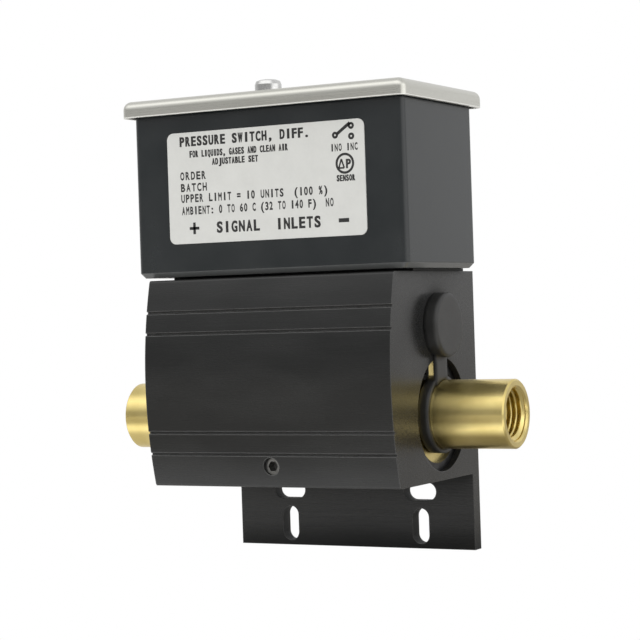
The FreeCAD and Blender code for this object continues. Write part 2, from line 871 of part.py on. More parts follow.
def make_range_spring():
    """Square-wire compression spring between the lever and the spring nut, swept along a helix."""
    height = d.spring_length - d.spring_wire - 2 * d.running_clearance
    start = lever_face + d.spring_wire / 2 + d.running_clearance
    helix = doc.addObject("Part::Helix", "RangeSpringHelix")
    helix.setExpression("Pitch", (height / d.spring_turns).text)
    helix.setExpression("Height", height.text)
    helix.setExpression("Radius", d.spring_mean_radius.text)
    wire = doc.addObject("Part::RegularPolygon", "RangeSpringWire")
    wire.Polygon = 4
    wire.setExpression("Circumradius", (d.spring_wire / root(as_size(2))).text)
    wire.Placement.Rotation = FreeCAD.Rotation(X_AXIS, 90) * FreeCAD.Rotation(Z_AXIS, 45)
    wire.setExpression("Placement.Base.x", d.spring_mean_radius.text)
    doc.recompute()
    spring = doc.addObject("Part::Sweep", "range_spring")
    spring.Label = "range_spring"
    spring.Sections = [wire]
    spring.Spine = (helix, [f"Edge{i}" for i in range(1, len(helix.Shape.Edges) + 1)])
    spring.Solid = True
    spring.Frenet = True
    spring.Placement.Rotation = FreeCAD.Rotation(Z_AXIS, X_AXIS)
    for axis, place in zip("xyz", (start, -d.adjuster_depth, d.adjuster_height)):
        spring.setExpression(f"Placement.Base.{axis}", place.text)
    doc.recompute()
    keep(spring)


def make_adjuster_plug():
    """Rubber plug for the adjuster hole, with a strap and a ring that stays on the low port."""
    body = new_body("adjuster_plug", (half_length, -d.port_depth, d.port_height))
    lift = d.adjuster_height - d.port_height
    aside = d.port_depth - d.adjuster_depth
    face = d.running_clearance
    disc = new_sketch(body, "YZ", (0, 0, face))
    add_circle(disc, (aside, lift), d.plug_radius)
    pad(body, disc, d.plug_thickness)
    crown = face.number + d.plug_thickness.number
    chamfer(body, d.plug_edge, lambda edge: abs(edge.CenterOfMass.x - crown) < PLACE_TOLERANCE)
    strap = new_sketch(body, "YZ", (0, 0, face))
    ring_inner = d.port_radius + d.seat_clearance
    ring_outer = ring_inner + d.tether_ring_wall
    half = d.strap_width / 2
    add_rectangle(strap, (aside - half, d.port_radius / 2), (aside + half, lift))
    pad(body, strap, d.strap_thickness)
    ring_front = face + d.strap_thickness / 2
    ring = new_sketch(body, "YZ", (0, 0, ring_front))
    add_circle(ring, (0, 0), ring_outer)
    pad(body, ring, d.tether_ring_length, reverse=True)
    opening = new_sketch(body, "YZ", (0, 0, face + d.strap_thickness))
    add_circle(opening, (0, 0), ring_inner)
    pocket(body, opening, d.tether_ring_length + d.strap_thickness)
    stem = new_sketch(body, "YZ", (0, 0, face))
    stem_radius = d.adjuster_bore_radius - d.seat_clearance
    add_circle(stem, (aside, lift), stem_radius)
    add_circle(stem, (aside, lift), stem_radius - d.plug_stem_wall)
    pad(body, stem, d.plug_stem_length, reverse=True)
    keep(body)


def cut_passages(body, top, depth):
    """Cut the ways for the lever and the pointer down through a plate."""
    for middle, back, half, reach in (
        (0, d.lever_depth, lever_slot_half, lever_slot_depth),
        (nut_place, d.adjuster_depth, pointer_slot_half, pointer_slot_depth),
    ):
        sketch = new_sketch(body, "XY", (0, 0, top))
        add_rectangle(sketch, (middle - half, -back - reach), (middle + half, -back + reach))
        pocket(body, sketch, depth)


def make_housing_gasket():
    """Flat, inset gasket between the body and the housing."""
    body = new_body("housing_gasket")
    plate = new_sketch(body, "XY", (0, 0, body_top))
    add_rectangle(
        plate,
        (-d.gasket_length / 2, -d.housing_back - d.gasket_depth),
        (d.gasket_length / 2, -d.housing_back),
    )
    pad(body, plate, d.gasket_thickness)
    cut_passages(body, housing_bottom, d.gasket_thickness)
    holes = new_sketch(body, "XY", (0, 0, housing_bottom))
    for place in housing_screw_places:
        add_circle(holes, place, d.housing_screw_radius + d.seat_clearance)
    pocket(body, holes, d.gasket_thickness)
    keep(body)


def rounded_block(body, base, low, high, height, corner):
    """An upright block with rounded corners."""
    sketch = new_sketch(body, "XY", (0, 0, base))
    add_rectangle(sketch, low, high)
    pad(body, sketch, height)
    fillet(body, corner, lambda edge: parallel(edge, Z_AXIS))


def make_switch_housing():
    """Open box with a bevelled foot, two bosses for the cover screws and a conduit entry."""
    body = new_body("switch_housing")
    rounded_block(
        body,
        housing_bottom,
        (-housing_half, housing_front),
        (housing_half, -d.housing_back),
        d.housing_height,
        d.housing_corner,
    )
    foot = housing_bottom.number
    chamfer(body, d.housing_chamfer, lambda edge: abs(edge.CenterOfMass.z - foot) < PLACE_TOLERANCE)
    inside = new_sketch(body, "XY", (0, 0, housing_top))
    add_rectangle(
        inside,
        (-housing_half + d.housing_wall, housing_front + d.housing_wall),
        (housing_half - d.housing_wall, -d.housing_back - d.housing_wall),
    )
    pocket(body, inside, d.housing_height - d.housing_floor)
    boss_height = d.housing_height - d.housing_floor
    walls = {"front": housing_front + d.housing_wall / 2, "rear": -(d.housing_back + d.housing_wall / 2)}
    for end, place in cover_screw_places.items():
        boss = new_sketch(body, "XY", (0, 0, floor_top))
        add_circle(boss, (0, place), d.boss_radius)
        pad(body, boss, boss_height)
        web = new_sketch(body, "XY", (0, 0, floor_top))
        low, high = (walls[end], place) if end == "front" else (place, walls[end])
        add_rectangle(web, (-d.boss_radius, low), (d.boss_radius, high))
        pad(body, web, boss_height)
        hole = new_sketch(body, "XY", (0, 0, housing_top))
        add_circle(hole, (0, place), d.cover_screw_radius + d.seat_clearance)
        pocket(body, hole, d.cover_screw_length)
    cut_passages(body, floor_top, d.housing_floor)
    holes = new_sketch(body, "XY", (0, 0, floor_top))
    for place in housing_screw_places:
        add_circle(holes, place, d.housing_screw_radius + d.seat_clearance)
    pocket(body, holes, d.housing_floor)
    ground = new_sketch(body, "XY", (0, 0, floor_top))
    add_circle(ground, ground_place, d.ground_boss_radius)
    pad(body, ground, d.ground_boss_height)
    tapped = new_sketch(body, "XY", (0, 0, floor_top + d.ground_boss_height))
    add_circle(tapped, ground_place, d.ground_screw_radius + d.running_clearance)
    pocket(body, tapped, d.ground_boss_height)
    entry = new_sketch(body, "YZ", (0, 0, -housing_half))
    add_circle(entry, (housing_middle, housing_bottom + d.conduit_rise), d.conduit_radius)
    pocket(body, entry, d.housing_wall, reverse=True)
    keep(body)


def make_housing_screws():
    """Four screws through the housing's floor into the top of the body."""
    section = screw_section(
        d.housing_screw_radius,
        d.housing_screw_depth + d.gasket_thickness + d.housing_floor,
        d.housing_screw_head_radius,
        d.housing_screw_head_height,
    )
    grouped("housing_screws", [
        turned(f"housing_screw_{number}", section, (*place, floor_top), Z_AXIS)
        for number, place in enumerate(housing_screw_places, start=1)
    ])


def make_cover():
    """Pressed pan lid: flat top, short skirt and rounded edges."""
    body = new_body("cover")
    low = (-housing_half - d.cover_end_overhang, housing_front - d.cover_front_overhang)
    high = (housing_half + d.cover_end_overhang, -d.housing_back + d.cover_front_overhang)
    rounded_block(body, cover_top - d.cover_height, low, high, d.cover_height, d.cover_corner)
    crown = cover_top.number
    fillet(body, d.cover_edge_radius, lambda edge: abs(edge.CenterOfMass.z - crown) < PLACE_TOLERANCE)
    inside = new_sketch(body, "XY", (0, 0, cover_top - d.cover_height))
    add_rectangle(
        inside,
        (low[0] + d.cover_sheet, low[1] + d.cover_sheet),
        (high[0] - d.cover_sheet, high[1] - d.cover_sheet),
    )
    pocket(body, inside, d.cover_height - d.cover_sheet, reverse=True)
    holes = new_sketch(body, "XY", (0, 0, cover_top))
    for place in cover_screw_places.values():
        add_circle(holes, (0, place), d.cover_screw_radius + d.seat_clearance)
    pocket(body, holes, d.cover_sheet)
    keep(body)


def make_cover_gasket():
    """Seal on the housing's rim, under the cover."""
    body = new_body("cover_gasket")
    ring = new_sketch(body, "XY", (0, 0, housing_top))
    add_rectangle(ring, (-housing_half, housing_front), (housing_half, -d.housing_back))
    pad(body, ring, d.cover_gasket_thickness)
    inside = new_sketch(body, "XY", (0, 0, cover_under))
    add_rectangle(
        inside,
        (-housing_half + d.housing_wall, housing_front + d.cover_screw_inset + d.boss_radius),
        (housing_half - d.housing_wall, -(d.housing_back + d.cover_screw_inset + d.boss_radius)),
    )
    pocket(body, inside, d.cover_gasket_thickness)
    holes = new_sketch(body, "XY", (0, 0, cover_under))
    for place in cover_screw_places.values():
        add_circle(holes, (0, place), d.cover_screw_radius + d.seat_clearance)
    pocket(body, holes, d.cover_gasket_thickness)
    keep(body)


def make_cover_screw(end, place):
    """Pan-head cover screw with a cross recess; two flats stand for the round of its head."""
    section = screw_section(
        d.cover_screw_radius,
        d.cover_screw_length,
        d.cover_screw_head_radius,
        d.cover_screw_head_height - d.cover_screw_head_crown,
    )
    flat = d.cover_screw_head_crown * (1 - root(as_size(2)) / 2)
    section[-1:] = [
        (d.cover_screw_head_radius - flat, d.cover_screw_head_height - flat),
        (d.cover_screw_head_radius - d.cover_screw_head_crown, d.cover_screw_head_height),
        (0, d.cover_screw_head_height),
    ]
    body = turned(f"cover_screw_{end}", section, (0, place, cover_top), Z_AXIS)
    reach = d.cross_recess_length / 2
    half = d.cross_recess_width / 2
    recess = new_sketch(body, "XY", (0, 0, d.cover_screw_head_height))
    add_polygon(recess, [
        (reach, -half), (reach, half), (half, half), (half, reach),
        (-half, reach), (-half, half), (-reach, half), (-reach, -half),
        (-half, -half), (-half, -reach), (half, -reach), (half, -half),
    ])
    pocket(body, recess, d.cross_recess_depth)
    keep(body)


def make_nameplate():
    """Thin plate on the front of the housing."""
    body = new_body("nameplate")
    sketch = new_sketch(body, "XZ", (0, 0, -housing_front))
    middle = housing_bottom + d.nameplate_rise
    add_rectangle(
        sketch,
        (-d.nameplate_length / 2, middle - d.nameplate_height / 2),
        (d.nameplate_length / 2, middle + d.nameplate_height / 2),
    )
    pad(body, sketch, d.nameplate_thickness)
    fillet(body, d.nameplate_corner, lambda edge: parallel(edge, Y_AXIS))
    keep(body)


def make_switch_case():
    """Snap switch case, with a plunger hole towards the lever and two screw holes."""
    body = new_body("switch_case")
    block = new_sketch(body, "XY", (0, 0, switch_bottom))
    half = d.switch_length / 2
    add_rectangle(block, (switch_back, switch_middle - half), (switch_face, switch_middle + half))
    pad(body, block, d.switch_height)
    guide = new_sketch(body, "YZ", (0, 0, switch_face))
    add_circle(guide, (-d.lever_depth, plunger_height), d.plunger_radius + d.running_clearance)
    pocket(body, guide, d.plunger_depth + d.free_clearance)
    holes = new_sketch(body, "XY", (0, 0, switch_bottom + d.switch_height))
    for place in switch_screw_places:
        add_circle(holes, place, d.switch_screw_radius + d.running_clearance)
    pocket(body, holes, d.switch_height)
    keep(body)


def make_switch_plunger():
    """Plunger that follows the lever."""
    tip = d.plunger_depth + d.plunger_reach
    section = [
        (0, 0),
        (d.plunger_radius, 0),
        (d.plunger_radius, tip - d.plunger_radius / 2),
        (d.plunger_radius / 2, tip),
        (0, tip),
    ]
    at = (switch_face - d.plunger_depth, -d.lever_depth, plunger_height)
    keep(turned("switch_plunger", section, at, X_AXIS))


def make_switch_screws():
    """Two screws down through the switch case into its bracket."""
    section = screw_section(
        d.switch_screw_radius,
        d.switch_height + d.bracket_sheet,
        d.switch_screw_head_radius,
        d.switch_screw_head_height,
    )
    top = switch_bottom + d.switch_height
    grouped("switch_screws", [
        turned(f"switch_screw_{number}", section, (*place, top), Z_AXIS)
        for number, place in enumerate(switch_screw_places, start=1)
    ])


def make_switch_bracket():
    """Folded bracket: a foot on the housing's floor, a web and a shelf for the switch."""
    body = new_body("switch_bracket")
    profile = new_sketch(body, "XZ", (0, 0, -switch_middle))
    shelf = switch_bottom - d.bracket_sheet
    add_polygon(profile, [
        (switch_face - d.bracket_sheet, floor_top),
        (switch_back, floor_top),
        (switch_back, switch_bottom),
        (switch_face, switch_bottom),
        (switch_face, shelf),
        (switch_back + d.bracket_sheet, shelf),
        (switch_back + d.bracket_sheet, floor_top + d.bracket_sheet),
        (switch_face - d.bracket_sheet, floor_top + d.bracket_sheet),
    ])
    pad(body, profile, d.switch_length, symmetric=True)
    holes = new_sketch(body, "XY", (0, 0, switch_bottom))
    for place in switch_screw_places:
        add_circle(holes, place, d.switch_screw_radius + d.running_clearance)
    pocket(body, holes, d.bracket_sheet)
    feet = new_sketch(body, "XY", (0, 0, floor_top + d.bracket_sheet))
    for place in bracket_screw_places:
        add_circle(feet, place, d.switch_screw_radius + d.running_clearance)
    pocket(body, feet, d.bracket_sheet)
    keep(body)


def make_bracket_screws():
    """Two short screws that hold the bracket's foot down."""
    section = screw_section(
        d.switch_screw_radius,
        d.bracket_sheet,
        d.switch_screw_head_radius,
        d.switch_screw_head_height,
    )
    seat = floor_top + d.bracket_sheet
    grouped("bracket_screws", [
        turned(f"bracket_screw_{number}", section, (*place, seat), Z_AXIS)
        for number, place in enumerate(bracket_screw_places, start=1)
    ])


def make_switch_terminals():
    """Three flat terminals on the switch's back, each with a screw hole."""
    pieces = []
    for number, place in enumerate(terminal_places, start=1):
        body = new_body(f"switch_terminal_{number}")
        plate = new_sketch(body, "XY", (0, 0, terminal_top - d.terminal_sheet))
        half = d.terminal_width / 2
        add_rectangle(
            plate,
            (switch_back - d.terminal_length, place[1] - half),
            (switch_back, place[1] + half),
        )
        pad(body, plate, d.terminal_sheet)
        hole = new_sketch(body, "XY", (0, 0, terminal_top))
        add_circle(hole, place, d.switch_screw_radius + d.running_clearance)
        pocket(body, hole, d.terminal_sheet)
        pieces.append(body)
    grouped("switch_terminals", pieces)


def make_terminal_screws():
    """Three wire screws on the terminals."""
    section = screw_section(
        d.switch_screw_radius,
        d.terminal_screw_length,
        d.switch_screw_head_radius,
        d.switch_screw_head_height,
    )
    grouped("terminal_screws", [
        turned(f"terminal_screw_{number}", section, (*place, terminal_top), Z_AXIS)
        for number, place in enumerate(terminal_places, start=1)
    ])


def make_scale_plate():
    """Folded plate beside the pointer, with its scale on the upper flange."""
    body = new_body("scale_plate", (nut_place, scale_front, floor_top))
    profile = new_sketch(body, "YZ")
    top = d.scale_rise + d.scale_sheet
    add_polygon(profile, [
        (0, 0),
        (d.scale_depth, 0),
        (d.scale_depth, top),
        (0, top),
        (0, d.scale_rise),
        (d.scale_depth - d.scale_sheet, d.scale_rise),
        (d.scale_depth - d.scale_sheet, d.scale_sheet),
        (0, d.scale_sheet),
    ])
    pad(body, profile, d.scale_length, symmetric=True)
    holes = new_sketch(body, "XY", (0, 0, d.scale_sheet))
    for side in (-1, 1):
        place = (side * d.scale_screw_spacing / 2, d.scale_depth / 2 - d.scale_sheet / 2)
        add_circle(holes, place, d.scale_screw_radius + d.running_clearance)
    pocket(body, holes, d.scale_sheet)
    keep(body)


def make_scale_screws():
    """Two small screws in the scale plate's foot."""
    section = screw_section(
        d.scale_screw_radius,
        d.scale_sheet,
        d.scale_screw_head_radius,
        d.scale_sheet,
    )
    across = scale_front + d.scale_depth / 2 - d.scale_sheet / 2
    seat = floor_top + d.scale_sheet
    grouped("scale_screws", [
        turned(
            f"scale_screw_{number}",
            section,
            (nut_place + side * d.scale_screw_spacing / 2, across, seat),
            Z_AXIS,
        )
        for number, side in enumerate((-1, 1), start=1)
    ])


def make_ground_screw():
    """Ground screw on its boss."""
    section = screw_section(
        d.ground_screw_radius,
        d.ground_boss_height - d.running_clearance,
        d.ground_boss_radius - d.free_clearance,
        d.housing_screw_head_height,
    )
    keep(turned("ground_screw", section, (*ground_place, floor_top + d.ground_boss_height), Z_AXIS))


make_sensor_body()
for side, name in ((-1, "high"), (1, "low")):
    make_port(side, name)
    make_port_seal(side, name)
    make_retaining_ring(side, name)
    make_bellows(side, name)
    make_thrust_pin(side, name)
make_lever()
make_pivot_screw()
make_adjuster_bushing()
make_adjusting_screw()
make_spring_nut()
make_range_spring()
make_adjuster_plug()
make_housing_gasket()
make_switch_housing()
make_housing_screws()
make_cover()
make_cover_gasket()
for end, place in cover_screw_places.items():
    make_cover_screw(end, place)
make_nameplate()
make_switch_case()
make_switch_plunger()
make_switch_screws()
make_switch_bracket()
make_bracket_screws()
make_switch_terminals()
make_terminal_screws()
make_scale_plate()
make_scale_screws()
make_ground_screw()
doc.recompute()

failed = [o.Name for o in doc.Objects if "Invalid" in o.State or "Error" in o.State]
failed += [p.Label for p in parts if p.Shape.isNull() or not p.Shape.isValid()]
if failed:
    raise RuntimeError(f"failed: {failed}")
os.makedirs("parts", exist_ok=True)
for piece in parts:
    piece.Shape.exportStep(f"parts/{piece.Label}.step")
    print(piece.Label, len(piece.Shape.Solids), round(piece.Shape.Volume, 1))
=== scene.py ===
"""Looks of a differential pressure switch: finishes, printed plate, pipe threads, springs, camera and studio.

Lengths are metres in the frame of the part: X along the pressure ports, Y towards the wall, Z up.
"""
import math

import bmesh
import bpy
from mathutils import Matrix, Vector


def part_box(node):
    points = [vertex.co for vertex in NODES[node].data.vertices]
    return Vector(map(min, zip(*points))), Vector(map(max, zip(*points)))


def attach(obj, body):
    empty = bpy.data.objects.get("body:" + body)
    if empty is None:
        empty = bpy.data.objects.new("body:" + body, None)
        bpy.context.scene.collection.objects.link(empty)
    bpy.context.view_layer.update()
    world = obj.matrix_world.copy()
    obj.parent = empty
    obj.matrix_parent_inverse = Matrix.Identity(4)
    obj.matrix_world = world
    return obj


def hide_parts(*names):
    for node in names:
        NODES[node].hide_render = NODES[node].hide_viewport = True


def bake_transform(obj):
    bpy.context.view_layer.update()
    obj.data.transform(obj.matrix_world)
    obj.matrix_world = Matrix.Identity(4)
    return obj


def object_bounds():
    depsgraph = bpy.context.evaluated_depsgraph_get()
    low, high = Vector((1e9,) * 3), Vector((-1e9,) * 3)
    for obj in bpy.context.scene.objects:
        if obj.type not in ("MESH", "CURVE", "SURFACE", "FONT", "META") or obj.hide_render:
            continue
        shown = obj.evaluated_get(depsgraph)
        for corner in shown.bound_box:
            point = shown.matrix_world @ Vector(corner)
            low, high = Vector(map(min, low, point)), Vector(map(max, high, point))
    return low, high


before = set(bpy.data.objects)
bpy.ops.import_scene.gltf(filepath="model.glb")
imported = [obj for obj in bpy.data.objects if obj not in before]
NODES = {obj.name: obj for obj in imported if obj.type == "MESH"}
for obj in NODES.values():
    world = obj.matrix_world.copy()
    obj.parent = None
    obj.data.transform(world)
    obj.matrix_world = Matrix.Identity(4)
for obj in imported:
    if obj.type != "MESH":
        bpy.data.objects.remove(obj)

MM = 0.001
cad_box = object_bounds()

# Camera, fitted to the photograph's frame, with its turns in degrees
IMAGE_PIXELS = 640
FOCAL_PIXELS = 1989.4
SENSOR_WIDTH = 36.0
CAMERA_PLACE = Vector((0.2501, -0.4826, 0.0497))
CAMERA_YAW = 28.40
CAMERA_PITCH = -0.33
CAMERA_ROLL = -1.87
NEAREST_SEEN = 10 * MM

# Pipe threads of the ports: a helical ridge with a rounded crest, whose start and run-out are in turns
PORT_AXIS = Vector((0, -21.6, 21.75)) * MM
THREAD_PITCH = 1.41 * MM
THREAD_ROOT = 6.72 * MM
THREAD_CREST = 5.72 * MM
THREAD_DEPTH = 13.5 * MM
THREAD_MOUTH = 0.15 * MM
THREAD_START = 0.36
THREAD_RUN_OUT = 0.3
LEAST_RISE = 0.15
RIDGE_HALF = 0.49 * THREAD_PITCH
RIDGE_SUNK = 0.05 * MM
CREST_HALF = 0.18 * MM
CREST_DROP = 0.11 * MM
CREST_SHARES = (-1, -0.5, 0, 0.5, 1)
THREAD_SMOOTH_ANGLE = 50
STEPS_A_TURN = 72

# Range spring, round wire with closed ends
SPRING_AXIS = Vector((0, -23.3, 44.5)) * MM
SPRING_MEAN_RADIUS = 4.4 * MM
SPRING_WIRE = 1.15 * MM
SPRING_CLOSED = 1.5 * SPRING_WIRE
SPRING_TURNS = 6.0
WIRE_CORNERS = 12

# Metal bellows
BELLOWS_INNER_RADIUS = 8.4 * MM
BELLOWS_OUTER_RADIUS = 10.8 * MM
BELLOWS_WALL = 0.4 * MM
BELLOWS_NECK = 2.4 * MM
BELLOWS_CAP = 1.5 * MM
BELLOWS_FOLDS = 8
STEPS_A_FOLD = 12
CIRCLE_STEPS = 56

# Painted highlight along the bottom edge of the lid's sheet, a lighter and less metallic band: its height,
# and the share of it that is at full strength throughout
EDGE_HIGHLIGHT_HEIGHT = 0.32 * MM
EDGE_HIGHLIGHT_FULL = 0.7

# Ink: how far it stands out, how much its letters are thickened, and their share of the room they have
INK_PROUD = 0.015 * MM
LETTER_BEVEL = 0.035
LETTER_SHARE = 0.76
RING_STEPS = 32

# Wording of the plate: text, left and right ends, baseline, height and boldness, in mm from its corner
PLATE_WORDS = (
    ("PRESSURE SWITCH, DIFF.", 3.8, 41.8, 3.5, 2.4, 0.16),
    ("FOR LIQUIDS, GASES AND CLEAN AIR", 6.7, 35.6, 6.45, 1.65, 0.14),
    ("ADJUSTABLE SET", 13.4, 26.9, 8.7, 1.6, 0.14),
    ("ORDER", 3.7, 11.4, 12.15, 2.0, 0.0),
    ("BATCH", 3.8, 11.6, 15.15, 2.0, 0.0),
    ("UPPER LIMIT = 10 UNITS  (100 %)", 3.8, 46.6, 17.95, 2.0, 0.0),
    ("AMBIENT: 0 TO 60 C (32 TO 140 F)  NO", 3.9, 48.2, 21.1, 2.0, 0.0),
    ("SIGNAL  INLETS", 14.2, 44.3, 26.1, 2.75, 0.12),
    ("1NO 1NC", 47.9, 55.4, 7.6, 1.75, 0.0),
    ("P", 52.0, 53.3, 11.95, 2.2, 0.12),
    ("SENSOR", 49.3, 54.3, 15.1, 1.5, 0.14),
)

# Plus and minus sign of the plate: left, top, right and bottom of each bar
PLATE_BARS = ((6.05, 24.38, 8.95, 25.12), (7.12, 23.25, 7.88, 26.25), (49.5, 24.3, 52.4, 25.3))

# Contact sign of the plate, then its round sign: centre, outer radius and width of each ring
PLATE_RINGS = (
    ((49.2, 3.7), 0.85, 0.6),
    ((53.7, 1.6), 0.85, 0.6),
    ((53.7, 4.2), 0.85, 0.6),
    ((51.7, 10.8), 2.6, 0.6),
)

# Contact arm of the plate, then the triangle in its round sign: both ends and width of each line
PLATE_STROKES = (
    ((49.8, 3.4), (53.4, 0.9), 0.8),
    ((50.0, 11.9), (51.5, 11.9), 0.42),
    ((50.0, 11.9), (50.75, 9.7), 0.42),
    ((51.5, 11.9), (50.75, 9.7), 0.42),
)

# Scale under the lid, in mm
MARKS_EACH_WAY = 10
MARKS_A_NUMBER = 5
MARK_SPACING = 0.5
MARK_HALF = 0.06
MARK_MARGIN = 0.1
LONG_MARK = 1.8
SHORT_MARK = 1.1
SCALE_NUMBERS = "01234"
NUMBER_HALF = 0.4
NUMBER_HEIGHT = 1.3
NUMBER_BASELINE = 2.3

# Contact names on the snap switch, in mm: name, right end, and share of the way from the first to the last
CONTACT_NAMES = (("NO", 2.4, 0.0), ("COM", 3.6, 0.5), ("NC", 2.4, 1.0))
CONTACT_LEFT = 0.4
CONTACT_HEIGHT = 1.3
CONTACT_FIRST = 3.9
CONTACT_LAST = 2.5

# Surroundings: brightness by direction, and the stretch of X, Y or Z over which each part comes in or fades
FRONT_GLOW = 0.45
REAR_GLOW = 0.82
FRONT_TO_REAR_Y = (-0.6, 0.5)
OVERHEAD_SHARE = 0.5
OVERHEAD_Z = (0.2, 0.8)
SKY_GLOW = 1.40
SKY_Z = (0.22, 0.7)
SKY_REAR_SHARE = 0.28
SKY_FADE_Y = (-0.47, -0.05)
SIDE_GLOW = 0.9
SIDE_X = (0.75, 0.95)

# Floor: how far below the object it lies, its tints for painted shadow and painted light, where and how much
# it is painted lighter or darker, and how brightly it glows
FLOOR_HALF = 4.0
FLOOR_GAP = 0.1 * MM
FLOOR_PAINTED_SHADOW = (0.36, 0.34, 0.31)
FLOOR_PAINTED_LIGHT = (0.95, 0.95, 0.95)
FLOOR_GLOW = 0.55
FLOOR_BEFORE_Y = (-36 * MM, -58 * MM)
FLOOR_UNDER_SHARE = 0.35
FLOOR_UNDER_X = (10 * MM, 35 * MM)
FLOOR_AWAY_SHARE = 0.15
FLOOR_AWAY_Y = (-70 * MM, -110 * MM)
FLOOR_REAR_SHARE = 0.1
FLOOR_REAR_Y = (30 * MM, 90 * MM)

# Soft lights: places seen from the object's middle, and powers in watts
KEY_PLACE = Vector((-0.30, -0.75, 0.12))
KEY_POWER = 2.6
SIDE_PLACE = Vector((0.8, 0.15, 0.3))
SIDE_POWER = 1.0
LIGHT_SIZE = 0.7

# Rays for each look at an edge or a hollow
EDGE_SAMPLES = 6


class Graph:
    """A node tree that is built up step by step."""

    def __init__(self, tree):
        self.tree = tree

    def add(self, kind, inputs, **settings):
        """A node of this kind, with its inputs set to values or linked to other nodes' outputs."""
        node = self.tree.nodes.new(kind)
        for name, value in settings.items():
            setattr(node, name, value)
        for name, value in inputs.items():
            if isinstance(value, bpy.types.NodeSocket):
                self.tree.links.new(value, node.inputs[name])
            else:
                node.inputs[name].default_value = value
        return node

    def math(self, operation, first, second):
        """What an operation makes of two numbers."""
        return self.add("ShaderNodeMath", {0: first, 1: second}, operation=operation).outputs[0]

    def total(self, first, *weighted):
        """A number, plus others that are each multiplied by their weight."""
        result = first
        for number, weight in weighted:
            result = self.math("ADD", result, self.math("MULTIPLY", number, weight))
        return result

    def spread(self, factor, low, high, start=0.3, end=0.7):
        """A number that goes from low to high as the factor goes from start to end."""
        inputs = {"Value": factor, "From Min": start, "From Max": end, "To Min": low, "To Max": high}
        return self.add("ShaderNodeMapRange", inputs).outputs["Result"]

    def split(self, vector):
        """A vector's X, Y and Z."""
        return self.add("ShaderNodeSeparateXYZ", {"Vector": vector}).outputs


class Finish(Graph):
    """A principled material whose node graph is built up step by step, in the piece's own coordinates."""

    def __init__(self, name, **shader):
        self.material = bpy.data.materials.new(name)
        self.material.use_nodes = True
        super().__init__(self.material.node_tree)
        self.shader = self.tree.nodes["Principled BSDF"]
        self.place = self.add("ShaderNodeTexCoord", {}).outputs["Object"]
        self.normal = None
        for socket, value in shader.items():
            self.shader.inputs[socket.replace("_", " ")].default_value = value

    def drive(self, socket, output):
        """Let an input of the shader follow a node's output."""
        self.tree.links.new(output, self.shader.inputs[socket])

    def grain(self, size, stretch=(1, 1, 1), detail=3.0, place=None):
        """Noise with grains of about this size, drawn out along each axis by its stretch."""
        scale = [1 / (size * share) for share in stretch]
        mapping = self.add("ShaderNodeMapping", {"Vector": place or self.place, "Scale": scale})
        inputs = {"Vector": mapping.outputs["Vector"], "Scale": 1.0, "Detail": detail}
        return self.add("ShaderNodeTexNoise", inputs).outputs["Fac"]

    def turned_place(self, axis):
        """Coordinates on a piece turned about a line along X: the way along it, and the distance from it."""
        offset = self.add("ShaderNodeVectorMath", {0: self.place, 1: axis}, operation="SUBTRACT")
        across = {0: offset.outputs[0], 1: (0, 1, 1)}
        flat = self.add("ShaderNodeVectorMath", across, operation="MULTIPLY")
        radius = self.add("ShaderNodeVectorMath", {0: flat.outputs[0]}, operation="LENGTH")
        inputs = {"X": self.split(offset.outputs[0])["X"], "Y": radius.outputs["Value"]}
        return self.add("ShaderNodeCombineXYZ", inputs).outputs["Vector"]

    def colour(self, factor, first, second, start=0.3, end=0.7):
        """Base colour that goes from the first to the second as the factor goes from start to end."""
        ramp = self.add("ShaderNodeValToRGB", {"Fac": factor})
        for element, position, colour in zip(ramp.color_ramp.elements, (start, end), (first, second)):
            element.position = position
            element.color = (*colour, 1)
        self.drive("Base Color", ramp.outputs["Color"])

    def roughness(self, factor, low, high, start=0.3, end=0.7):
        """Roughness that goes from low to high as the factor goes from start to end."""
        self.drive("Roughness", self.spread(factor, low, high, start, end))

    def soft_edges(self, radius):
        """Rounded normals at the edges."""
        self.normal = self.add("ShaderNodeBevel", {"Radius": radius}, samples=EDGE_SAMPLES).outputs["Normal"]

    def edge_turn(self):
        """How much the rounded normals turn away from the surface: 0 on a flat, and more at an edge."""
        own_normal = self.add("ShaderNodeNewGeometry", {}).outputs["Normal"]
        turn = self.add("ShaderNodeVectorMath", {0: self.normal, 1: own_normal}, operation="DOT_PRODUCT")
        return self.math("SUBTRACT", 1.0, turn.outputs["Value"])

    def facing(self):
        """The X, Y and Z of the way that each face looks."""
        return self.split(self.add("ShaderNodeNewGeometry", {}).outputs["True Normal"])

    def facing_down(self):
        """1 on faces that look down, and 0 on those that stand upright or look up."""
        return self.spread(self.facing()["Z"], 1.0, 0.0, start=-0.6, end=-0.3)

    def facing_x(self):
        """1 on faces that look along X, and 0 on those that run along it."""
        return self.math("POWER", self.facing()["X"], 4.0)

    def lowest(self, full, end):
        """1 up to the full height in the piece's own coordinates, and 0 from the end height on."""
        return self.spread(self.split(self.place)["Z"], 1.0, 0.0, full, end)

    def hollow(self, depth):
        """1 in slots, recesses and corners that are narrower than about this depth, and 0 on open faces."""
        occlusion = self.add("ShaderNodeAmbientOcclusion", {"Distance": depth}, samples=EDGE_SAMPLES)
        return self.spread(occlusion.outputs["AO"], 1.0, 0.0, start=0.4, end=0.8)

    def bump(self, height, strength, distance):
        """Relief on top of the normals so far."""
        inputs = {"Height": height, "Strength": strength, "Distance": distance}
        if self.normal:
            inputs["Normal"] = self.normal
        self.normal = self.add("ShaderNodeBump", inputs).outputs["Normal"]

    def done(self):
        """The finished material."""
        if self.normal:
            self.drive("Normal", self.normal)
        return self.material


